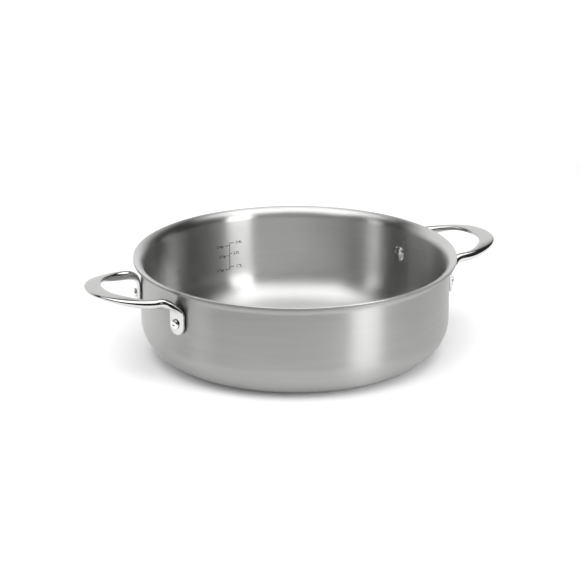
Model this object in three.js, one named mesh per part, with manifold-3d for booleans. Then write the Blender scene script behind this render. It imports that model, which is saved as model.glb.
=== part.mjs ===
// Two-handled saute pan: a clad body with a flared pouring lip, two cast loop handles, four rivets.
// Millimetres, +Z up, origin at the centre of the base, handles along X.

import * as THREE from 'three';
import { mergeVertices } from 'three/addons/utils/BufferGeometryUtils.js';
import Module from 'manifold-3d';

const { degToRad, lerp } = THREE.MathUtils;
const QUARTER_TURN = Math.PI / 2;

// Body
const INNER_RADIUS = 140;
const PAN_HEIGHT = 91.5;
const LINER_THICKNESS = 0.5;
const CORE_THICKNESS = 1.8;
const SKIN_THICKNESS = 0.5;
const BOND_GAP = 0.05;
const INNER_CORNER_RADIUS = 30;
const LIP_UNDERSIDE_RADIUS = 6.8;
const LIP_TURN = degToRad(88);

// Handles
const GRIP_REACH = 50.4;
const GRIP_WIDTH = 16;
const GRIP_THICKNESS = 4;
const GRIP_BELOW_RIM = 5;
const GRIP_SQUARENESS = 3.4;
const LOOP_WIDTH = 94.2;
const LEG_WIDTH = 9;
const LEG_THICKNESS = 8.6;
const LEG_DROP = 2.8;
const LEG_FALL_POWER = 4;
const LEG_SQUARENESS = 2;
const SHOULDER_LEAN = degToRad(7);
const BEND_RUN = 18.5;
const BEND_SQUARENESS = 2.25;
const BEND_FLAT_POWER = 2.8;
const TAB_WIDTH = 18;
const TAB_THICKNESS = 4;
const TAB_ABOVE_RIVET = 7.5;
const TAB_BELOW_RIVET = 1.5;
const TAB_SQUARENESS = 3.8;

// Rivets
const RIVET_SPACING = 91.5;
const RIVET_BELOW_RIM = 32;
const SHANK_RADIUS = 3;
const HEAD_OVERHANG = 4.2;
const HEAD_HEIGHT = 2.4;
const HEAD_EDGE = 0.6;
const UPSET_OVERHANG = 1.6;
const UPSET_HEIGHT = 2;
const UPSET_EDGE = 0.8;
const DIMPLE_RADIUS = 1.7;
const DIMPLE_DEPTH = 0.9;

// Clearances
const SEAT_GAP = 0.3;
const HOLE_CLEARANCE = 0.3;

// Facets
const BODY_SEGMENTS = 54;
const CORNER_STEPS = 6;
const LIP_STEPS = 4;
const RIVET_SEGMENTS = 20;
const DOME_STEPS = 4;
const SECTION_POINTS = 14;
const GRIP_STEPS = 10;
const BEND_STEPS = 8;
const TAB_END_STEPS = 6;
const MERGE_TOLERANCE = 1e-4;

// Body values that follow from the driving dimensions
const WALL_THICKNESS = LINER_THICKNESS + CORE_THICKNESS + SKIN_THICKNESS + 2 * BOND_GAP;
const OUTER_RADIUS = INNER_RADIUS + WALL_THICKNESS;
const LIP_TOP_RADIUS = LIP_UNDERSIDE_RADIUS + WALL_THICKNESS;
const LIP_CENTRE_RADIUS = OUTER_RADIUS + LIP_UNDERSIDE_RADIUS;
const LIP_CENTRE_Z = PAN_HEIGHT - LIP_TOP_RADIUS * Math.sin(Math.min(LIP_TURN, QUARTER_TURN));

// Rivet and handle places that follow from the driving dimensions
const SEAT_RADIUS = OUTER_RADIUS + SEAT_GAP;
const RIVET_ANGLE = Math.asin(RIVET_SPACING / 2 / SEAT_RADIUS);
const RIVET_Z = PAN_HEIGHT - RIVET_BELOW_RIM;
const HOLE_RADIUS = SHANK_RADIUS + HOLE_CLEARANCE;
const TAB_X = SEAT_RADIUS * Math.cos(RIVET_ANGLE);
const TAB_Y = RIVET_SPACING / 2;
const TAB_ACROSS = new THREE.Vector3(-Math.sin(RIVET_ANGLE), Math.cos(RIVET_ANGLE), 0);
const LEG_X = TAB_X + BEND_RUN;
const LEG_Y = (LOOP_WIDTH - LEG_WIDTH) / 2;
const LEG_ACROSS = new THREE.Vector3(0, 1, 0);
const GRIP_TOP = PAN_HEIGHT - GRIP_BELOW_RIM;
const LEG_TOP = GRIP_TOP - LEG_DROP;

// Sections of a handle's bar, from round to almost square; curl bends them round the wall
const gripSection = {
  thickness: GRIP_THICKNESS,
  squareness: GRIP_SQUARENESS,
  curl: 0,
};
const legSection = {
  width: LEG_WIDTH,
  thickness: LEG_THICKNESS,
  squareness: LEG_SQUARENESS,
  curl: 0,
};
const tabSection = {
  width: TAB_WIDTH,
  thickness: TAB_THICKNESS,
  squareness: TAB_SQUARENESS,
  curl: 1,
};

const steelFinish = { color: 0xb9bab8, metalness: 1, roughness: 0.35 };
const coreFinish = { color: 0xc9cbcc, metalness: 1, roughness: 0.5 };
const polishedFinish = { color: 0xc8c8c6, metalness: 1, roughness: 0.1 };

const rivetPlaces = [
  { name: 'rivet_right_front', angle: -RIVET_ANGLE },
  { name: 'rivet_right_rear', angle: RIVET_ANGLE },
  { name: 'rivet_left_rear', angle: Math.PI - RIVET_ANGLE },
  { name: 'rivet_left_front', angle: Math.PI + RIVET_ANGLE },
];

const wasm = await Module();
wasm.setup();

// Turns a closed geometry into a solid that can be cut
function solidFrom(geometry) {
  geometry.deleteAttribute('normal');
  geometry.deleteAttribute('uv');
  const merged = mergeVertices(geometry, MERGE_TOLERANCE);
  const corners = merged.index.array;
  const triangles = [];
  for (let i = 0; i < corners.length; i += 3) {
    const [a, b, c] = corners.subarray(i, i + 3);
    if (a !== b && b !== c && c !== a) {
      triangles.push(a, b, c);
    }
  }
  return new wasm.Manifold(
    new wasm.Mesh({
      numProp: 3,
      vertProperties: new Float32Array(merged.attributes.position.array),
      triVerts: new Uint32Array(triangles),
    }),
  );
}

// Turns a solid into a named mesh
function meshFrom(name, solid, finish) {
  const { vertProperties, triVerts } = solid.getMesh();
  const geometry = new THREE.BufferGeometry();
  geometry.setAttribute('position', new THREE.BufferAttribute(vertProperties, 3));
  geometry.setIndex(new THREE.BufferAttribute(triVerts, 1));
  geometry.computeVertexNormals();
  const mesh = new THREE.Mesh(geometry, new THREE.MeshStandardMaterial(finish));
  mesh.name = name;
  return mesh;
}

// Angles from 0 to a last angle in even steps
function turnSteps(lastTurn, steps) {
  return Array.from({ length: steps + 1 }, (_, i) => (i / steps) * lastTurn);
}

// One surface of the body as (radius, height) points from the axis to the rim,
// at a depth below the cooking surface
function bodySurface(depth) {
  const cornerRadius = INNER_CORNER_RADIUS + depth;
  const corner = turnSteps(QUARTER_TURN, CORNER_STEPS).map(
    (turn) =>
      new THREE.Vector2(
        INNER_RADIUS - INNER_CORNER_RADIUS + cornerRadius * Math.sin(turn),
        WALL_THICKNESS + INNER_CORNER_RADIUS - cornerRadius * Math.cos(turn),
      ),
  );
  const lipRadius = LIP_TOP_RADIUS - depth;
  const lip = turnSteps(LIP_TURN, LIP_STEPS).map(
    (turn) =>
      new THREE.Vector2(
        LIP_CENTRE_RADIUS - lipRadius * Math.cos(turn),
        LIP_CENTRE_Z + lipRadius * Math.sin(turn),
      ),
  );
  return [new THREE.Vector2(0, WALL_THICKNESS - depth), ...corner, ...lip];
}

// One layer of the clad sheet, revolved about Z
function bodyLayer(topDepth, thickness) {
  const upper = bodySurface(topDepth);
  const lower = bodySurface(topDepth + thickness);
  const profile = [...lower, ...upper.reverse()];
  return solidFrom(new THREE.LatheGeometry(profile, BODY_SEGMENTS).rotateX(QUARTER_TURN));
}

// Lays a geometry made along Y on a rivet's axis, pointing away from the pan
function alongRivet(geometry, angle) {
  return geometry.rotateZ(angle - QUARTER_TURN).translate(0, 0, RIVET_Z);
}

// The hole for a rivet, right through the wall and a tab
function rivetHole(angle) {
  const length = 4 * (WALL_THICKNESS + SEAT_GAP + TAB_THICKNESS);
  const hole = new THREE.CylinderGeometry(HOLE_RADIUS, HOLE_RADIUS, length, RIVET_SEGMENTS);
  return solidFrom(alongRivet(hole.translate(0, OUTER_RADIUS, 0), angle));
}

// A rivet: domed head inside the pan, shank, and an upset end with a dimple outside the tab
function rivetSolid(angle) {
  const headRadius = SHANK_RADIUS + HEAD_OVERHANG;
  const headSeat = Math.sqrt(INNER_RADIUS ** 2 - headRadius ** 2) - SEAT_GAP;
  const head = turnSteps(QUARTER_TURN, DOME_STEPS).map(
    (turn) =>
      new THREE.Vector2(
        headRadius * Math.sin(turn),
        headSeat - lerp(HEAD_EDGE, HEAD_HEIGHT, Math.cos(turn)),
      ),
  );
  const upsetRadius = SHANK_RADIUS + UPSET_OVERHANG;
  const upsetSeat = OUTER_RADIUS + SEAT_GAP + TAB_THICKNESS + SEAT_GAP;
  const upset = turnSteps(QUARTER_TURN, DOME_STEPS).map(
    (turn) =>
      new THREE.Vector2(
        lerp(DIMPLE_RADIUS, upsetRadius, Math.cos(turn)),
        upsetSeat + lerp(UPSET_EDGE, UPSET_HEIGHT, Math.sin(turn)),
      ),
  );
  const profile = [
    ...head,
    new THREE.Vector2(headRadius, headSeat),
    new THREE.Vector2(SHANK_RADIUS, headSeat),
    new THREE.Vector2(SHANK_RADIUS, upsetSeat),
    new THREE.Vector2(upsetRadius, upsetSeat),
    ...upset,
    new THREE.Vector2(0, upsetSeat + UPSET_HEIGHT - DIMPLE_DEPTH),
  ];
  return solidFrom(alongRivet(new THREE.LatheGeometry(profile, RIVET_SEGMENTS), angle));
}

// Joins closed rings of points into a skin, with a fan over each end
function loft(rings) {
  const count = rings[0].length;
  const last = rings.length - 1;
  const points = rings.flat();
  for (const ring of [rings[0], rings[last]]) {
    const sum = ring.reduce((total, point) => total.add(point), new THREE.Vector3());
    points.push(sum.divideScalar(count));
  }
  const startMiddle = rings.length * count;
  const endMiddle = startMiddle + 1;
  const corners = [];
  for (let j = 0; j < count; j += 1) {
    const next = (j + 1) % count;
    for (let i = 0; i < last; i += 1) {
      const here = i * count;
      const there = here + count;
      corners.push(here + j, here + next, there + j);
      corners.push(here + next, there + next, there + j);
    }
    corners.push(startMiddle, next, j);
    corners.push(endMiddle, last * count + j, last * count + next);
  }
  return new THREE.BufferGeometry().setFromPoints(points).setIndex(corners);
}

// A handle is lofted through stations along its bar. Each station has a crest, which is the middle
// of the bar's top and turns to the wall at a tab, a direction across the bar, a lean that tips
// the top outwards between grip and leg, and a section.

// The section that lies a share of the way from one section to another
function blend(from, to, share) {
  return Object.fromEntries(
    Object.keys(from).map((key) => [key, lerp(from[key], to[key], share)]),
  );
}

// Spreads a circle's coordinate towards a square with round corners: 2 leaves the circle
function squared(value, squareness) {
  return Math.sign(value) * Math.abs(value) ** (2 / squareness);
}

// The round end of a tab, centred just below its rivet
function tabStations() {
  const tabRadius = TAB_WIDTH / 2;
  return turnSteps(QUARTER_TURN, TAB_END_STEPS)
    .slice(1)
    .map((turn) => ({
      crest: new THREE.Vector3(
        TAB_X,
        TAB_Y,
        RIVET_Z - TAB_BELOW_RIVET - tabRadius * Math.cos(turn),
      ),
      across: TAB_ACROSS,
      lean: 0,
      ...tabSection,
      width: TAB_WIDTH * Math.sin(turn),
    }));
}

// The bend from a flat upright tab to a round level leg
function bendStations() {
  return turnSteps(QUARTER_TURN, BEND_STEPS)
    .slice(0, -1)
    .map((turn) => {
      const inward = squared(Math.cos(turn), BEND_SQUARENESS);
      const upward = squared(Math.sin(turn), BEND_SQUARENESS);
      const flatness = Math.cos(turn) ** BEND_FLAT_POWER;
      return {
        crest: new THREE.Vector3(
          lerp(LEG_X, TAB_X, inward),
          lerp(LEG_Y, TAB_Y, flatness),
          lerp(RIVET_Z + TAB_ABOVE_RIVET, LEG_TOP, upward),
        ),
        across: LEG_ACROSS.clone().lerp(TAB_ACROSS, flatness).normalize(),
        lean: 0,
        ...blend(legSection, tabSection, flatness),
      };
    });
}

// A point at a turn round a half ellipse that is centred between the legs
function loopPoint(reach, halfWidth, turn) {
  return new THREE.Vector3(LEG_X + reach * Math.cos(turn), halfWidth * Math.sin(turn), 0);
}

// A leg and half the grip: the space between two half ellipses, ending at the grip's tip
function gripStations() {
  return turnSteps(QUARTER_TURN, GRIP_STEPS)
    .reverse()
    .map((turn) => {
      const outer = loopPoint(GRIP_REACH, LOOP_WIDTH / 2, turn);
      const inner = loopPoint(GRIP_REACH - GRIP_WIDTH, LOOP_WIDTH / 2 - LEG_WIDTH, turn);
      const fall = Math.sin(turn) ** LEG_FALL_POWER;
      return {
        crest: outer.clone().lerp(inner, 0.5).setZ(lerp(GRIP_TOP, LEG_TOP, fall)),
        across: outer.clone().sub(inner).normalize(),
        lean: SHOULDER_LEAN * Math.sin(Math.PI * fall),
        ...blend(gripSection, legSection, fall),
        width: outer.distanceTo(inner),
      };
    });
}

// Half a handle from tab to tip, then its mirror image from tip to tab
function handleStations() {
  const half = [...tabStations(), ...bendStations(), ...gripStations()];
  const mirrored = half
    .slice(0, -1)
    .reverse()
    .map((station) => ({
      ...station,
      crest: station.crest.clone().setY(-station.crest.y),
      across: station.across.clone().setY(-station.across.y),
    }));
  return [...half, ...mirrored];
}

// The ring of points round the bar at one station, square to the way the bar runs
function sectionRing(station, along) {
  const across = station.across.clone().applyAxisAngle(along, -station.lean);
  const up = along.clone().cross(across).normalize();
  return turnSteps(2 * Math.PI, SECTION_POINTS)
    .slice(0, -1)
    .map((turn) => {
      const x = (station.width / 2) * squared(Math.cos(turn), station.squareness);
      const y = (station.thickness / 2) * (squared(Math.sin(turn), station.squareness) - 1);
      const sag = (station.curl * x * x) / (2 * SEAT_RADIUS);
      return station.crest.clone().addScaledVector(across, x).addScaledVector(up, y + sag);
    });
}

// A cast loop handle on the +X side, with its two rivet holes
function handleSolid() {
  const stations = handleStations();
  const rings = stations.map((station, i) => {
    const before = stations[Math.max(i - 1, 0)];
    const after = stations[Math.min(i + 1, stations.length - 1)];
    return sectionRing(station, after.crest.clone().sub(before.crest).normalize());
  });
  const holes = rivetHole(RIVET_ANGLE).add(rivetHole(-RIVET_ANGLE));
  return solidFrom(loft(rings)).subtract(holes);
}

// The three bonded layers, each pierced by the four rivets
function bodyMeshes() {
  const coreDepth = LINER_THICKNESS + BOND_GAP;
  const skinDepth = coreDepth + CORE_THICKNESS + BOND_GAP;
  const holes = rivetPlaces
    .map(({ angle }) => rivetHole(angle))
    .reduce((all, hole) => all.add(hole));
  const liner = bodyLayer(0, LINER_THICKNESS).subtract(holes);
  const core = bodyLayer(coreDepth, CORE_THICKNESS).subtract(holes);
  const skin = bodyLayer(skinDepth, SKIN_THICKNESS).subtract(holes);
  return [
    meshFrom('inner_liner', liner, steelFinish),
    meshFrom('aluminium_core', core, coreFinish),
    meshFrom('outer_skin', skin, steelFinish),
  ];
}

// Two identical handles, one turned to the other side
function handleMeshes() {
  const right = meshFrom('handle_right', handleSolid(), polishedFinish);
  const left = meshFrom('handle_left', handleSolid(), polishedFinish);
  left.rotation.z = Math.PI;
  return [right, left];
}

function rivetMeshes() {
  return rivetPlaces.map(({ name, angle }) => meshFrom(name, rivetSolid(angle), polishedFinish));
}

const pan = new THREE.Group();
pan.add(...bodyMeshes(), ...handleMeshes(), ...rivetMeshes());

export default pan;
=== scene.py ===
"""Looks of the two-handled saute pan: brushed clad body, polished handles and rivets, pale studio."""

import math

import bpy
from mathutils import Matrix, Vector


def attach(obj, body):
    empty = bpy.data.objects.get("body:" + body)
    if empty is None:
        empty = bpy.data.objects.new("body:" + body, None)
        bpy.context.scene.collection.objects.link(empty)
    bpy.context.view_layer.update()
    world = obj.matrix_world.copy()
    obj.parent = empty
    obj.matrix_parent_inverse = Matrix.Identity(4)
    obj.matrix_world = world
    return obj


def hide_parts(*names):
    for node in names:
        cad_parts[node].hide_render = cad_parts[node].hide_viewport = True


MM = 0.001
FULL_TURN = 2 * math.pi
QUARTER_TURN = math.pi / 2

# Body, in millimetres
INNER_RADIUS = 140
PAN_HEIGHT = 91.5
LINER_THICKNESS = 0.5
CORE_THICKNESS = 1.8
SKIN_THICKNESS = 0.5
BOND_GAP = 0.05
INNER_CORNER_RADIUS = 30
LIP_UNDERSIDE_RADIUS = 6.8
LIP_TURN = math.radians(88)
EDGE_CHAMFER = 0.25

# Handles, in millimetres
GRIP_REACH = 50.4
GRIP_WIDTH = 16
GRIP_THICKNESS = 4
GRIP_BELOW_RIM = 5
GRIP_SQUARENESS = 3.4
LOOP_WIDTH = 94.2
LEG_WIDTH = 9
LEG_THICKNESS = 8.6
LEG_DROP = 2.8
LEG_FALL_POWER = 4
LEG_SQUARENESS = 2
SHOULDER_LEAN = math.radians(7)
BEND_RUN = 18.5
BEND_SQUARENESS = 2.25
BEND_FLAT_POWER = 2.8
TAB_WIDTH = 18
TAB_THICKNESS = 4
TAB_ABOVE_RIVET = 7.5
TAB_BELOW_RIVET = 1.5
TAB_SQUARENESS = 3.8
TAB_EDGE_ROUNDING = 1.6

# Rivets, in millimetres
RIVET_SPACING = 91.5
RIVET_BELOW_RIM = 32
SHANK_RADIUS = 3
HEAD_OVERHANG = 4.2
HEAD_HEIGHT = 2.4
HEAD_EDGE = 0.6
UPSET_OVERHANG = 1.6
UPSET_HEIGHT = 2
UPSET_EDGE = 0.8
DIMPLE_RADIUS = 1.7
DIMPLE_DEPTH = 0.9
SEAT_GAP = 0.3

# Graduation marks on the inside wall, in millimetres above the cooking surface
SCALE_ANGLE = math.radians(91.9)
SCALE_LIFT = 0.06
SCALE_LINE_WIDTH = 0.55
SCALE_NUMBER_SIZE = 3.6
SCALE_NUMBER_WEIGHT = 0.1
SCALE_TICK_LENGTH = 4.8
SCALE_SHORT_TICK_LENGTH = 2.2
SCALE_NUMBER_GAP = 1.6
SCALE_LITRE_HEIGHTS = {"3.4": 58.0, "2.7": 47.0, "1.9": 33.5}
SCALE_QUART_HEIGHTS = {"3.4": 55.5, "2.7": 45.0, "1.9": 31.3}
SCALE_SHORT_TICK_NUMBER = "2.7"

# Finishes: the darkest and the lightest colour, and the smoothest and the roughest polish
LINER_FINISH = {
    "dark": (0.68, 0.68, 0.67),
    "light": (0.75, 0.75, 0.74),
    "smooth": 0.27,
    "rough": 0.33,
    "anisotropy": 1,
}
# Painted shade: the outer skin's stainless steel is coloured well below the liner's steel, so that the
# outside of the pan looks dimmer
SKIN_FINISH_WITH_PAINTED_SHADE = {
    "dark": (0.43, 0.43, 0.425),
    "light": (0.49, 0.49, 0.485),
    "smooth": 0.36,
    "rough": 0.44,
    "anisotropy": 0.93,
}
# Painted shade: the core's colours are far darker than bare aluminium, so that the lip's cut edge shows as
# a dark line of shade and dark reflection
CORE_FINISH_WITH_PAINTED_SHADE = {
    "dark": (0.26, 0.26, 0.258),
    "light": (0.32, 0.32, 0.318),
    "smooth": 0.35,
    "rough": 0.5,
}
HANDLE_FINISH = {
    "dark": (0.585, 0.585, 0.575),
    "light": (0.635, 0.635, 0.625),
    "smooth": 0.05,
    "rough": 0.11,
    "wave_depth": 0.06 * MM,
}
RIVET_FINISH = {
    "dark": (0.73, 0.73, 0.72),
    "light": (0.79, 0.79, 0.78),
    "smooth": 0.03,
    "rough": 0.07,
    "wave_depth": 0.04 * MM,
}
MARK_FINISH = {
    "dark": (0.02, 0.02, 0.02),
    "light": (0.07, 0.07, 0.068),
    "smooth": 0.45,
    "rough": 0.65,
}
MARK_METALLIC = 0.3
BRUSH_DEPTH = 0.01 * MM
BRUSH_STRENGTH = 0.3
WAVE_STRENGTH = 0.5
HIGHLIGHT_TURN = 0.25
NOISE_RANGE = (0.3, 0.7)

# Studio, in metres; the backdrop lies at a turn in degrees to the right of the camera
FLOOR_RADIUS = 0.65
FLOOR_SIDES = 64
FLOOR_COLOUR = (0.9, 0.9, 0.9)
FLOOR_LIFT = 0.06
SIDE_LEVEL = 0.03
BACKDROP_LEVEL = 0.9
BACKDROP_TURN = 203
BACKDROP_SIDE_FADE = (0.4, 0.8)
BACKDROP_TOP_FADE = (0.62, 0.75)

# Smoothness
BODY_SEGMENTS = 288
FLOOR_RINGS = 12
WALL_RINGS = 12
CORNER_STEPS = 28
LIP_STEPS = 20
RIVET_SEGMENTS = 64
DOME_STEPS = 20
SECTION_POINTS = 56
GRIP_STEPS = 56
BEND_STEPS = 28
TAB_END_STEPS = 24
SHARP_ANGLE = math.radians(40)

# Camera, in metres from the pan's axis, with the lens in millimetres
CAMERA_AZIMUTH = math.radians(-25.27)
CAMERA_ELEVATION = math.radians(19.564)
CAMERA_DISTANCE = 2.2253
CAMERA_CENTRE_HEIGHT = 0.0455
CAMERA_AIM_RIGHT = -0.0046
CAMERA_AIM_HEIGHT = 0.0560
CAMERA_LENS = 148.5

# Values that follow
WALL_THICKNESS = LINER_THICKNESS + CORE_THICKNESS + SKIN_THICKNESS + 2 * BOND_GAP
OUTER_RADIUS = INNER_RADIUS + WALL_THICKNESS
LIP_TOP_RADIUS = LIP_UNDERSIDE_RADIUS + WALL_THICKNESS
LIP_CENTRE_RADIUS = OUTER_RADIUS + LIP_UNDERSIDE_RADIUS
LIP_CENTRE_Z = PAN_HEIGHT - LIP_TOP_RADIUS * math.sin(LIP_TURN)
SEAT_RADIUS = OUTER_RADIUS + SEAT_GAP
RIVET_ANGLE = math.asin(RIVET_SPACING / 2 / SEAT_RADIUS)
RIVET_Z = PAN_HEIGHT - RIVET_BELOW_RIM
TAB_X = SEAT_RADIUS * math.cos(RIVET_ANGLE)
TAB_Y = RIVET_SPACING / 2
TAB_ACROSS = Vector((-math.sin(RIVET_ANGLE), math.cos(RIVET_ANGLE), 0))
LEG_X = TAB_X + BEND_RUN
LEG_Y = (LOOP_WIDTH - LEG_WIDTH) / 2
LEG_ACROSS = Vector((0, 1, 0))
GRIP_TOP = PAN_HEIGHT - GRIP_BELOW_RIM
LEG_TOP = GRIP_TOP - LEG_DROP


def lerp(start, end, share):
    """The value that lies a share of the way from start to end."""
    return start + (end - start) * share


def even_steps(last, steps):
    """Values from 0 to last in even steps, both ends included."""
    return [last * i / steps for i in range(steps + 1)]


# Meshes


def add_piece(name, points, faces, material, slot, replaced=None):
    """A smooth mesh piece of the pan, from points in millimetres."""
    mesh = bpy.data.meshes.new(name)
    mesh.from_pydata([Vector(point) * MM for point in points], [], faces)
    mesh.materials.append(material)
    mesh.shade_smooth()
    mesh.set_sharp_from_angle(angle=SHARP_ANGLE)
    piece = bpy.data.objects.new(name, mesh)
    bpy.context.scene.collection.objects.link(piece)
    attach(piece, "root")
    if replaced:
        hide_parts(replaced)


def revolve(profile, segments):
    """Points and faces of a line of (radius, height) points turned about Z, open or closed on the axis."""
    points = []
    rings = []
    for radius, height in profile:
        start = len(points)
        count = segments if radius > 0 else 1
        for i in range(count):
            turn = FULL_TURN * i / segments
            points.append(Vector((radius * math.cos(turn), radius * math.sin(turn), height)))
        rings.append([start + i % count for i in range(segments + 1)])
    faces = []
    for here, there in zip(rings, rings[1:]):
        for i in range(segments):
            corners = [here[i], here[i + 1], there[i + 1], there[i]]
            faces.append(list(dict.fromkeys(corners)))
    return points, faces


def loft(rings):
    """Points and faces of closed rings of points joined into a skin, with a cap on each end."""
    count = len(rings[0])
    points = [point for ring in rings for point in ring]
    faces = []
    for i in range(len(rings) - 1):
        here = i * count
        there = here + count
        for j in range(count):
            after = (j + 1) % count
            faces.append([here + j, here + after, there + after, there + j])
    faces.append(list(range(count))[::-1])
    faces.append(list(range(len(points) - count, len(points))))
    return points, faces


# The clad body


def floor_points(depth):
    """One surface of the base from the axis to the rounded corner."""
    edge = INNER_RADIUS - INNER_CORNER_RADIUS
    return [(radius, WALL_THICKNESS - depth) for radius in even_steps(edge, FLOOR_RINGS)]


def corner_points(depth):
    """One surface of the rounded bottom corner, without its first point."""
    radius = INNER_CORNER_RADIUS + depth
    middle_radius = INNER_RADIUS - INNER_CORNER_RADIUS
    middle_height = WALL_THICKNESS + INNER_CORNER_RADIUS
    return [
        (middle_radius + radius * math.sin(turn), middle_height - radius * math.cos(turn))
        for turn in even_steps(QUARTER_TURN, CORNER_STEPS)[1:]
    ]


def wall_points(depth):
    """One surface of the straight wall, without its two ends."""
    low = WALL_THICKNESS + INNER_CORNER_RADIUS
    heights = even_steps(LIP_CENTRE_Z - low, WALL_RINGS)[1:-1]
    return [(INNER_RADIUS + depth, low + height) for height in heights]


def lip_points(depth, trim):
    """One surface of the flared lip, stopped short of the cut edge by a trim."""
    radius = LIP_TOP_RADIUS - depth
    last_turn = LIP_TURN - trim / radius
    return [
        (LIP_CENTRE_RADIUS - radius * math.cos(turn), LIP_CENTRE_Z + radius * math.sin(turn))
        for turn in even_steps(last_turn, LIP_STEPS)
    ]


def edge_point(depth):
    """A point on the cut edge of the lip."""
    radius = LIP_TOP_RADIUS - depth
    return (
        LIP_CENTRE_RADIUS - radius * math.cos(LIP_TURN),
        LIP_CENTRE_Z + radius * math.sin(LIP_TURN),
    )


def sheet_profile(top_depth, thickness, top_chamfer, bottom_chamfer):
    """The outline of one clad layer: under side from axis to rim, then upper side back to the axis."""
    bottom_depth = top_depth + thickness
    sides = []
    for depth, trim in ((bottom_depth, bottom_chamfer), (top_depth, top_chamfer)):
        sides.append(
            floor_points(depth) + corner_points(depth) + wall_points(depth) + lip_points(depth, trim)
        )
    edge = [edge_point(bottom_depth - bottom_chamfer), edge_point(top_depth + top_chamfer)]
    return sides[0] + edge + sides[1][::-1]


def add_body(liner_steel, core_aluminium, skin_steel):
    """The liner, the core and the outer skin."""
    core_depth = LINER_THICKNESS + BOND_GAP
    skin_depth = core_depth + CORE_THICKNESS + BOND_GAP
    liner = revolve(sheet_profile(0, LINER_THICKNESS, EDGE_CHAMFER, 0), BODY_SEGMENTS)
    core = revolve(sheet_profile(core_depth, CORE_THICKNESS, 0, 0), BODY_SEGMENTS)
    skin = revolve(sheet_profile(skin_depth, SKIN_THICKNESS, 0, EDGE_CHAMFER), BODY_SEGMENTS)
    add_piece("liner_sheet", *liner, liner_steel, "liner_steel", "inner_liner")
    add_piece("core_sheet", *core, core_aluminium, "core_aluminium", "aluminium_core")
    add_piece("skin_sheet", *skin, skin_steel, "skin_steel", "outer_skin")


# The cast handles


# Sections of the bar, from round to almost square; curl bends them round the wall
GRIP_SECTION = {
    "thickness": GRIP_THICKNESS,
    "squareness": GRIP_SQUARENESS,
    "curl": 0,
}
LEG_SECTION = {
    "width": LEG_WIDTH,
    "thickness": LEG_THICKNESS,
    "squareness": LEG_SQUARENESS,
    "curl": 0,
}
TAB_SECTION = {
    "width": TAB_WIDTH,
    "thickness": TAB_THICKNESS,
    "squareness": TAB_SQUARENESS,
    "curl": 1,
}


def blend(start, end, share):
    """The section that lies a share of the way from one section to another."""
    return {name: lerp(start[name], end[name], share) for name in start}


def station(crest, across, lean, section):
    """One place along the bar: the middle of its top, which turns to the wall at a tab, and its section."""
    return {"crest": Vector(crest), "across": across, "lean": lean, **section}


def squared(value, squareness):
    """Spreads a circle's coordinate towards a square with round corners: 2 leaves the circle."""
    return math.copysign(abs(value) ** (2 / squareness), value)


def tab_stations():
    """The round end of a tab, with a rounded outer edge."""
    radius = TAB_WIDTH / 2
    stations = []
    for turn in even_steps(QUARTER_TURN, TAB_END_STEPS)[1:]:
        from_end = min(radius * (1 - math.cos(turn)) / TAB_EDGE_ROUNDING, 1)
        fullness = math.sqrt(1 - (1 - from_end) ** 2)
        section = {
            **TAB_SECTION,
            "width": TAB_WIDTH * math.sin(turn),
            "thickness": TAB_THICKNESS - TAB_EDGE_ROUNDING * (1 - fullness),
        }
        height = RIVET_Z - TAB_BELOW_RIVET - radius * math.cos(turn)
        stations.append(station((TAB_X, TAB_Y, height), TAB_ACROSS, 0, section))
    return stations


def bend_stations():
    """The bend from a flat upright tab to a round level leg."""
    stations = []
    for turn in even_steps(QUARTER_TURN, BEND_STEPS)[:-1]:
        inward = squared(math.cos(turn), BEND_SQUARENESS)
        upward = squared(math.sin(turn), BEND_SQUARENESS)
        flatness = math.cos(turn) ** BEND_FLAT_POWER
        crest = (
            lerp(LEG_X, TAB_X, inward),
            lerp(LEG_Y, TAB_Y, flatness),
            lerp(RIVET_Z + TAB_ABOVE_RIVET, LEG_TOP, upward),
        )
        across = LEG_ACROSS.lerp(TAB_ACROSS, flatness).normalized()
        stations.append(station(crest, across, 0, blend(LEG_SECTION, TAB_SECTION, flatness)))
    return stations


def loop_point(reach, half_width, turn):
    """A point at a turn round a half ellipse that is centred between the legs."""
    return Vector((LEG_X + reach * math.cos(turn), half_width * math.sin(turn), 0))


def grip_stations():
    """A leg and half the grip: the space between two half ellipses, ending at the grip's tip."""
    stations = []
    for turn in even_steps(QUARTER_TURN, GRIP_STEPS)[::-1]:
        outer = loop_point(GRIP_REACH, LOOP_WIDTH / 2, turn)
        inner = loop_point(GRIP_REACH - GRIP_WIDTH, LOOP_WIDTH / 2 - LEG_WIDTH, turn)
        fall = math.sin(turn) ** LEG_FALL_POWER
        crest = (outer + inner) / 2
        crest.z = lerp(GRIP_TOP, LEG_TOP, fall)
        span = outer - inner
        lean = SHOULDER_LEAN * math.sin(math.pi * fall)
        section = {**blend(GRIP_SECTION, LEG_SECTION, fall), "width": span.length}
        stations.append(station(crest, span.normalized(), lean, section))
    return stations


def mirrored(place):
    """The same place on the other half of the handle."""
    flip = Vector((1, -1, 1))
    return {**place, "crest": place["crest"] * flip, "across": place["across"] * flip}


def section_ring(place, along):
    """The ring of points round the bar at one place, square to the way the bar runs."""
    across = Matrix.Rotation(-place["lean"], 3, along) @ place["across"]
    up = along.cross(across).normalized()
    ring = []
    for turn in even_steps(FULL_TURN, SECTION_POINTS)[:-1]:
        x = place["width"] / 2 * squared(math.cos(turn), place["squareness"])
        y = place["thickness"] / 2 * (squared(math.sin(turn), place["squareness"]) - 1)
        sag = place["curl"] * x * x / (2 * SEAT_RADIUS)
        ring.append(place["crest"] + across * x + up * (y + sag))
    return ring


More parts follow.
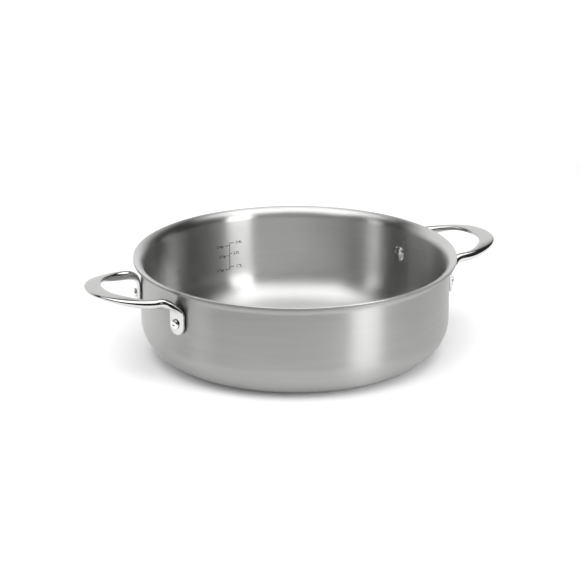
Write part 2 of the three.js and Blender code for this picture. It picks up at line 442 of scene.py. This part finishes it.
def handle_rings():
    """The rings of a handle on the +X side, from one tab round to the other."""
    half = tab_stations() + bend_stations() + grip_stations()
    places = half + [mirrored(place) for place in half[-2::-1]]
    rings = []
    for i, place in enumerate(places):
        before = places[max(i - 1, 0)]
        after = places[min(i + 1, len(places) - 1)]
        rings.append(section_ring(place, (after["crest"] - before["crest"]).normalized()))
    return rings


def add_handles(polished_steel):
    """Two identical handles, one turned to the other side."""
    points, faces = loft(handle_rings())
    turned = [Vector((-point.x, -point.y, point.z)) for point in points]
    add_piece("cast_handle_right", points, faces, polished_steel, "handle_steel", "handle_right")
    add_piece("cast_handle_left", turned, faces, polished_steel, "handle_steel", "handle_left")


# The rivets


def rivet_profile():
    """Radius and distance from the pan's axis, from the top of the inside head to the dimple outside."""
    head_radius = SHANK_RADIUS + HEAD_OVERHANG
    head_seat = math.sqrt(INNER_RADIUS**2 - head_radius**2) - SEAT_GAP
    upset_radius = SHANK_RADIUS + UPSET_OVERHANG
    upset_seat = OUTER_RADIUS + SEAT_GAP + TAB_THICKNESS + SEAT_GAP
    turns = even_steps(QUARTER_TURN, DOME_STEPS)
    head = [
        (head_radius * math.sin(turn), head_seat - lerp(HEAD_EDGE, HEAD_HEIGHT, math.cos(turn)))
        for turn in turns
    ]
    upset = [
        (
            lerp(DIMPLE_RADIUS, upset_radius, math.cos(turn)),
            upset_seat + lerp(UPSET_EDGE, UPSET_HEIGHT, math.sin(turn)),
        )
        for turn in turns
    ]
    dimple = [
        (DIMPLE_RADIUS * math.cos(turn), upset_seat + UPSET_HEIGHT - DIMPLE_DEPTH * math.sin(turn))
        for turn in turns[1:-1]
    ]
    shank = [
        (head_radius, head_seat),
        (SHANK_RADIUS, head_seat),
        (SHANK_RADIUS, upset_seat),
        (upset_radius, upset_seat),
    ]
    return head + shank + upset + dimple + [(0, upset_seat + UPSET_HEIGHT - DIMPLE_DEPTH)]


def add_rivets(rivet_steel):
    """Four rivets, each laid along its own radius of the pan."""
    upright, faces = revolve(rivet_profile(), RIVET_SEGMENTS)
    angles = {
        "right_front": -RIVET_ANGLE,
        "right_rear": RIVET_ANGLE,
        "left_rear": math.pi - RIVET_ANGLE,
        "left_front": math.pi + RIVET_ANGLE,
    }
    for place, angle in angles.items():
        outward = Vector((math.cos(angle), math.sin(angle), 0))
        sideways = Vector((-math.sin(angle), math.cos(angle), 0))
        points = [
            outward * point.z + sideways * point.x + Vector((0, 0, RIVET_Z + point.y))
            for point in upright
        ]
        add_piece(f"pressed_rivet_{place}", points, faces, rivet_steel, "rivet_steel", f"rivet_{place}")


# The graduation marks


def on_inside_wall(across, height):
    """A point on the inside wall, at a distance to the right of the scale's line as seen from the axis."""
    radius = INNER_RADIUS - SCALE_LIFT
    angle = SCALE_ANGLE - across / radius
    return Vector((radius * math.cos(angle), radius * math.sin(angle), WALL_THICKNESS + height))


def bar_mark(left, right, low, high):
    """Points and one face of an upright oblong mark."""
    corners = [(left, low), (right, low), (right, high), (left, high)]
    return [on_inside_wall(*corner) for corner in corners], [[0, 1, 2, 3]]


def number_mark(text, left, height, align):
    """Points and faces of a printed number and its unit, level with a height on the wall."""
    curve = bpy.data.curves.new("number", "FONT")
    curve.body = text
    curve.size = SCALE_NUMBER_SIZE
    curve.offset = SCALE_NUMBER_WEIGHT
    curve.align_x = align
    curve.align_y = "CENTER"
    holder = bpy.data.objects.new("number", curve)
    bpy.context.scene.collection.objects.link(holder)
    flat = holder.to_mesh()
    points = [on_inside_wall(left + vertex.co.x, height + vertex.co.y) for vertex in flat.vertices]
    faces = [list(polygon.vertices) for polygon in flat.polygons]
    holder.to_mesh_clear()
    bpy.data.objects.remove(holder)
    bpy.data.curves.remove(curve)
    return points, faces


def scale_marks():
    """The line, the ticks and the numbers on both sides of it."""
    half = SCALE_LINE_WIDTH / 2
    low = min(SCALE_QUART_HEIGHTS.values())
    high = max(SCALE_LITRE_HEIGHTS.values())
    marks = [bar_mark(-half, half, low - half, high + half)]
    sides = ((1, SCALE_LITRE_HEIGHTS, "L", "LEFT"), (-1, SCALE_QUART_HEIGHTS, "qt", "RIGHT"))
    for side, heights, unit, align in sides:
        for number, height in heights.items():
            short = number == SCALE_SHORT_TICK_NUMBER
            length = SCALE_SHORT_TICK_LENGTH if short else SCALE_TICK_LENGTH
            ends = sorted((side * half, side * (half + length)))
            marks.append(bar_mark(*ends, height - half, height + half))
            left = side * (half + length + SCALE_NUMBER_GAP)
            marks.append(number_mark(number + unit, left, height, align))
    return marks


def add_scale(mark_grey):
    """All the graduation marks as one thin printed piece."""
    points = []
    faces = []
    for mark_points, mark_faces in scale_marks():
        start = len(points)
        points += mark_points
        faces += [[start + corner for corner in face] for face in mark_faces]
    add_piece("graduation_marks", points, faces, mark_grey, "liner_steel")


# Materials


def new_material(name):
    """An empty node material and its shader."""
    material = bpy.data.materials.new(name)
    material.use_nodes = True
    return material, material.node_tree, material.node_tree.nodes["Principled BSDF"]


def math_node(tree, operation, *inputs):
    """A Math node on values or sockets."""
    node = tree.nodes.new("ShaderNodeMath")
    node.operation = operation
    for socket, value in zip(node.inputs, inputs):
        if isinstance(value, (int, float)):
            socket.default_value = value
        else:
            tree.links.new(value, socket)
    return node.outputs[0]


def remap(tree, value, from_low, from_high, to_low, to_high):
    """A value stretched from one range to another."""
    node = tree.nodes.new("ShaderNodeMapRange")
    tree.links.new(value, node.inputs["Value"])
    for socket, number in zip(node.inputs[1:5], (from_low, from_high, to_low, to_high)):
        socket.default_value = number
    return node.outputs["Result"]


def grey_ramp(tree, value, dark, light):
    """A value turned into a colour between two colours."""
    node = tree.nodes.new("ShaderNodeValToRGB")
    node.color_ramp.elements[0].color = (*dark, 1)
    node.color_ramp.elements[1].color = (*light, 1)
    tree.links.new(value, node.inputs["Fac"])
    return node.outputs["Color"]


def bump(tree, shader, height, distance, strength):
    """A bump on a shader's normal."""
    node = tree.nodes.new("ShaderNodeBump")
    node.inputs["Strength"].default_value = strength
    node.inputs["Distance"].default_value = distance
    tree.links.new(height, node.inputs["Height"])
    tree.links.new(node.outputs["Normal"], shader.inputs["Normal"])


def noise(tree, vector, scale, detail, fourth=None):
    """A noise value, of three or four coordinates."""
    node = tree.nodes.new("ShaderNodeTexNoise")
    node.inputs["Scale"].default_value = scale
    node.inputs["Detail"].default_value = detail
    tree.links.new(vector, node.inputs["Vector"])
    if fourth:
        node.noise_dimensions = "4D"
        tree.links.new(fourth, node.inputs["W"])
    return node.outputs["Fac"]


def object_coordinates(tree):
    """Places on the piece, in metres."""
    return tree.nodes.new("ShaderNodeTexCoord").outputs["Object"]


def turned_streaks(tree, length, fineness, detail):
    """Streaks that run round the Z axis, as a polishing belt leaves them on a turning pan."""
    split = tree.nodes.new("ShaderNodeSeparateXYZ")
    tree.links.new(object_coordinates(tree), split.inputs[0])
    x, y, z = split.outputs
    squares = [math_node(tree, "MULTIPLY", side, side) for side in (x, y)]
    radius = math_node(tree, "SQRT", math_node(tree, "ADD", *squares))
    safe_radius = math_node(tree, "MAXIMUM", radius, MM)
    joined = tree.nodes.new("ShaderNodeCombineXYZ")
    for socket, side in zip(joined.inputs, (x, y)):
        share = math_node(tree, "DIVIDE", side, safe_radius)
        tree.links.new(math_node(tree, "MULTIPLY", share, length), socket)
    tree.links.new(math_node(tree, "MULTIPLY", z, fineness), joined.inputs["Z"])
    return noise(tree, joined.outputs[0], 1, detail, math_node(tree, "MULTIPLY", radius, fineness))


def turned_tangent(tree, shader):
    """Turns a shader's stretched highlights square to the streaks."""
    node = tree.nodes.new("ShaderNodeTangent")
    node.direction_type = "RADIAL"
    node.axis = "Z"
    tree.links.new(node.outputs["Tangent"], shader.inputs["Tangent"])


def set_finish(tree, shader, metallic, shades, polish, finish):
    """Gives a shader the colours and the roughness of a finish, each spread by a noise value."""
    colour = grey_ramp(tree, shades, finish["dark"], finish["light"])
    roughness = remap(tree, polish, *NOISE_RANGE, finish["smooth"], finish["rough"])
    shader.inputs["Metallic"].default_value = metallic
    tree.links.new(colour, shader.inputs["Base Color"])
    tree.links.new(roughness, shader.inputs["Roughness"])


def brushed_steel(name, finish):
    """Stainless sheet with fine circumferential brushing."""
    material, tree, shader = new_material(name)
    fine = turned_streaks(tree, length=5, fineness=3000, detail=3)
    broad = turned_streaks(tree, length=1.5, fineness=160, detail=2)
    set_finish(tree, shader, 1, broad, fine, finish)
    shader.inputs["Anisotropic"].default_value = finish["anisotropy"]
    shader.inputs["Anisotropic Rotation"].default_value = HIGHLIGHT_TURN
    turned_tangent(tree, shader)
    bump(tree, shader, fine, BRUSH_DEPTH, BRUSH_STRENGTH)
    return material


def core_metal_with_painted_shade():
    """Aluminium seen only as a thin line on the cut edge of the lip, coloured far darker than bare
    aluminium as painted shade on that edge.
    """
    material, tree, shader = new_material("core aluminium")
    streaks = turned_streaks(tree, length=8, fineness=2500, detail=3)
    set_finish(tree, shader, 1, streaks, streaks, CORE_FINISH_WITH_PAINTED_SHADE)
    return material


def polished_steel(name, finish):
    """Cast or pressed stainless, buffed to a near mirror with faint clouds and waves."""
    material, tree, shader = new_material(name)
    places = object_coordinates(tree)
    clouds = noise(tree, places, scale=60, detail=3)
    waves = noise(tree, places, scale=140, detail=1)
    set_finish(tree, shader, 1, clouds, clouds, finish)
    bump(tree, shader, waves, finish["wave_depth"], WAVE_STRENGTH)
    return material


def mark_ink():
    """Dark grey etched marks, a little worn."""
    material, tree, shader = new_material("graduation marks")
    wear = noise(tree, object_coordinates(tree), scale=900, detail=3)
    set_finish(tree, shader, MARK_METALLIC, wear, wear, MARK_FINISH)
    return material


# The studio


def direction(right, elevation):
    """A direction from the pan, at an angle to the right of the camera and above the floor."""
    azimuth = CAMERA_AZIMUTH + math.radians(right)
    level = math.cos(math.radians(elevation))
    rise = math.sin(math.radians(elevation))
    return Vector((math.sin(azimuth) * level, -math.cos(azimuth) * level, rise))


def seen_directly(tree):
    """1 where the camera looks straight at the studio, 0 in metal and for the light that it gives."""
    return tree.nodes.new("ShaderNodeLightPath").outputs["Is Camera Ray"]


def seen_or_mirrored(tree):
    """1 where the camera sees a surface, also in metal, 0 for the light it gives."""
    path = tree.nodes.new("ShaderNodeLightPath").outputs
    mirrored_rays = math_node(tree, "MAXIMUM", path["Is Glossy Ray"], path["Is Transmission Ray"])
    return math_node(tree, "MAXIMUM", path["Is Camera Ray"], mirrored_rays)


def floor_material():
    """A white floor that holds the shadow, lifted a little where the camera or the metal sees it."""
    material, tree, shader = new_material("floor")
    tree.nodes.remove(shader)
    diffuse = tree.nodes.new("ShaderNodeBsdfDiffuse")
    diffuse.inputs["Color"].default_value = (*FLOOR_COLOUR, 1)
    glow = tree.nodes.new("ShaderNodeEmission")
    lift = math_node(tree, "MULTIPLY", seen_or_mirrored(tree), FLOOR_LIFT)
    tree.links.new(lift, glow.inputs["Strength"])
    total = tree.nodes.new("ShaderNodeAddShader")
    tree.links.new(diffuse.outputs[0], total.inputs[0])
    tree.links.new(glow.outputs[0], total.inputs[1])
    tree.links.new(total.outputs[0], tree.nodes["Material Output"].inputs["Surface"])
    return material


def add_floor():
    """A round floor under the pan."""
    points = [
        (FLOOR_RADIUS * math.cos(turn), FLOOR_RADIUS * math.sin(turn), 0)
        for turn in even_steps(FULL_TURN, FLOOR_SIDES)[:-1]
    ]
    mesh = bpy.data.meshes.new("floor")
    mesh.from_pydata(points, [], [list(range(len(points)))])
    mesh.materials.append(floor_material())
    floor = bpy.data.objects.new("floor", mesh)
    bpy.context.scene.collection.objects.link(floor)


def add_world():
    """White where the camera sees it, pale behind the pan and dim at its sides for the metal."""
    world = bpy.data.worlds.new("studio")
    bpy.context.scene.world = world
    world.use_nodes = True
    tree = world.node_tree
    towards = tree.nodes.new("ShaderNodeTexCoord").outputs["Generated"]
    facing = tree.nodes.new("ShaderNodeVectorMath")
    facing.operation = "DOT_PRODUCT"
    facing.inputs[1].default_value = direction(BACKDROP_TURN, 0)
    tree.links.new(towards, facing.inputs[0])
    behind = remap(tree, facing.outputs["Value"], *BACKDROP_SIDE_FADE, 0, 1)
    split = tree.nodes.new("ShaderNodeSeparateXYZ")
    tree.links.new(towards, split.inputs[0])
    below_top = remap(tree, split.outputs["Z"], *BACKDROP_TOP_FADE, 1, 0)
    backdrop = math_node(tree, "MULTIPLY", behind, below_top)
    level = remap(tree, backdrop, 0, 1, SIDE_LEVEL, BACKDROP_LEVEL)
    strength = math_node(tree, "MAXIMUM", level, seen_directly(tree))
    tree.links.new(strength, tree.nodes["Background"].inputs["Strength"])
    tree.nodes["Background"].inputs["Color"].default_value = (1, 1, 1, 1)


def add_softbox(name, right, elevation, tilt, distance, width, height, level):
    """A lamp with an even face, turned to the pan and tilted down: a tilt of 0 leaves it upright."""
    lamp = bpy.data.lights.new(name, "AREA")
    lamp.shape = "RECTANGLE"
    lamp.size = width
    lamp.size_y = height
    lamp.energy = level * math.pi * width * height
    holder = bpy.data.objects.new(name, lamp)
    bpy.context.scene.collection.objects.link(holder)
    holder.location = direction(right, elevation) * distance + Vector((0, 0, CAMERA_CENTRE_HEIGHT))
    holder.rotation_euler = (-direction(right, tilt)).to_track_quat("-Z", "Y").to_euler()


def add_sun(name, right, elevation, spread, level):
    """A soft even light for the floor, with no face for the metal to mirror."""
    lamp = bpy.data.lights.new(name, "SUN")
    lamp.angle = math.radians(spread)
    lamp.energy = level
    holder = bpy.data.objects.new(name, lamp)
    bpy.context.scene.collection.objects.link(holder)
    holder.rotation_euler = (-direction(right, elevation)).to_track_quat("-Z", "Y").to_euler()
    holder.visible_glossy = False


def add_lamps():
    """An upright strip on each side, a broad lamp overhead and two soft washes for the floor."""
    add_softbox(
        "key", right=48.3, elevation=20.5, tilt=0, distance=0.726, width=0.25, height=0.44, level=4.8
    )
    add_softbox("fill", right=-68.5, elevation=24, tilt=0, distance=1.3, width=0.23, height=1, level=1)
    add_softbox("top", right=0, elevation=86, tilt=86, distance=4.8, width=6, height=6, level=2)
    add_sun("left wash", right=-65, elevation=50, spread=60, level=1.15)
    add_sun("right wash", right=45, elevation=50, spread=60, level=1)


def add_camera():
    """The camera at the photograph's place."""
    data = bpy.data.cameras.new("camera")
    data.lens = CAMERA_LENS
    camera = bpy.data.objects.new("camera", data)
    bpy.context.scene.collection.objects.link(camera)
    back = direction(0, math.degrees(CAMERA_ELEVATION))
    camera.location = back * CAMERA_DISTANCE + Vector((0, 0, CAMERA_CENTRE_HEIGHT))
    right = direction(90, 0)
    aim = right * CAMERA_AIM_RIGHT + Vector((0, 0, CAMERA_AIM_HEIGHT))
    camera.rotation_euler = (aim - camera.location).to_track_quat("-Z", "Y").to_euler()
    bpy.context.scene.camera = camera


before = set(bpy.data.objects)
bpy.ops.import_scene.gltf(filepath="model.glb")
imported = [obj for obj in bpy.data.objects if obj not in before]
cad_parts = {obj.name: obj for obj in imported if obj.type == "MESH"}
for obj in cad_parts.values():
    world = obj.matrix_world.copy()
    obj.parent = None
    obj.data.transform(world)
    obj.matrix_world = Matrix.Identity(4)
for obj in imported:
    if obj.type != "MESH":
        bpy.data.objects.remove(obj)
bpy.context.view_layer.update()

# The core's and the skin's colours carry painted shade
add_body(
    brushed_steel("liner steel", LINER_FINISH),
    core_metal_with_painted_shade(),
    brushed_steel("skin steel", SKIN_FINISH_WITH_PAINTED_SHADE),
)
add_handles(polished_steel("handle steel", HANDLE_FINISH))
add_rivets(polished_steel("rivet steel", RIVET_FINISH))
add_scale(mark_ink())

add_floor()
add_world()
add_lamps()
add_camera()
bpy.context.scene.view_settings.view_transform = "Standard"
